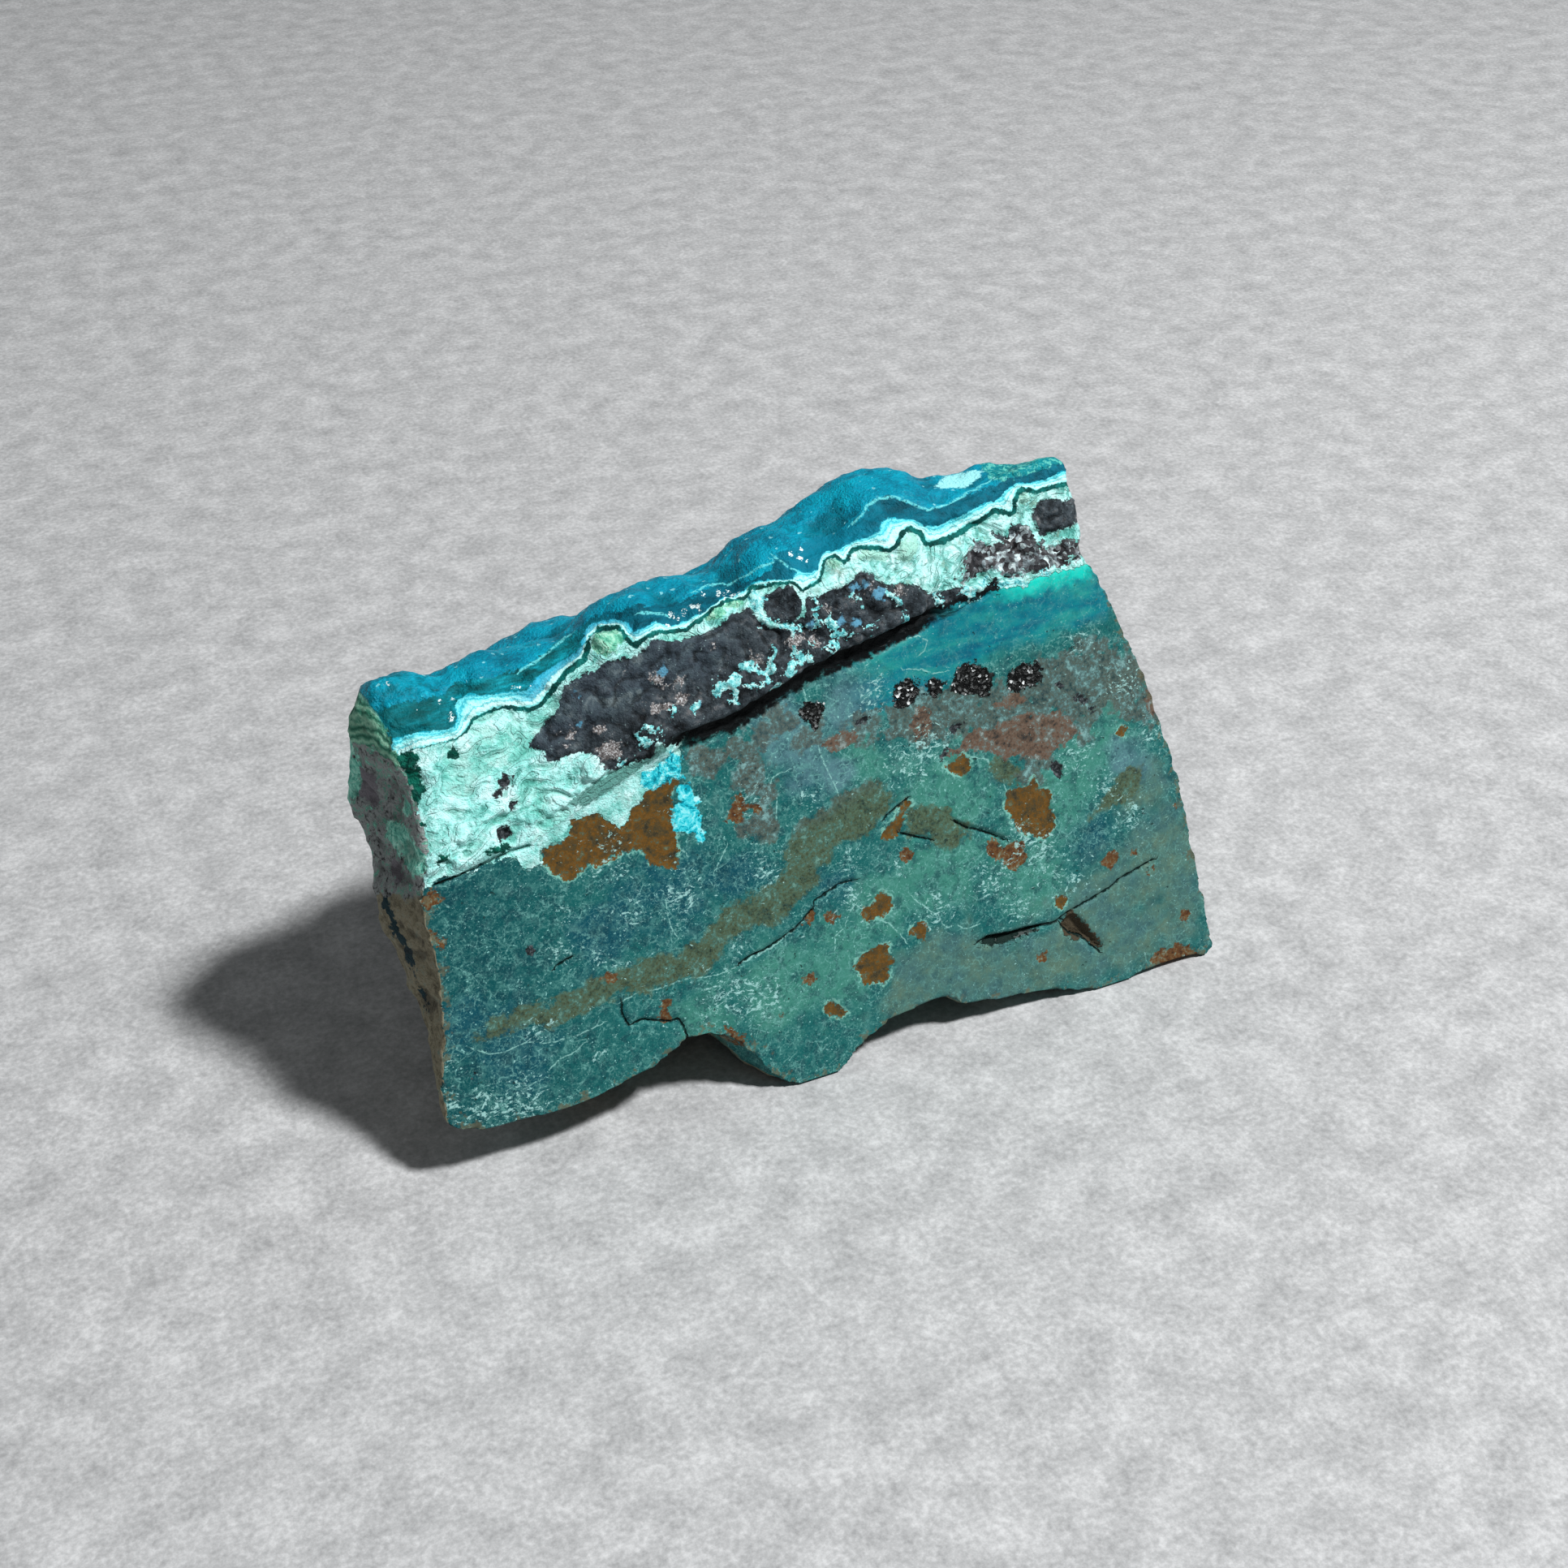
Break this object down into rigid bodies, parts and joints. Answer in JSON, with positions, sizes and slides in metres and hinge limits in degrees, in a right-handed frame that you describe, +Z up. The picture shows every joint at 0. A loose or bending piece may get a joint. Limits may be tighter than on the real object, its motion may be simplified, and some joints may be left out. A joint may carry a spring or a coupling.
{
  "type": "chrysocolla specimen",
  "caption": "Broken chunk of blue-green copper ore with a sawn front, a rough dark break above it and a crust of round blue lumps on top, resting on its underside.",
  "frame": {"origin": "on the surface the stone rests on, under the middle of its bounding box", "axes": "+X to the right along the stone's longest extent, -Y the way the sawn front looks, +Z up"},
  "size_m": [0.1048, 0.0466, 0.0635],
  "materials": {
    "stone": "satin on the sawn front, rough elsewhere"
  },
  "bodies": {
    "root": {"chrysocolla_stone": "stone"}
  },
  "joints": []
}
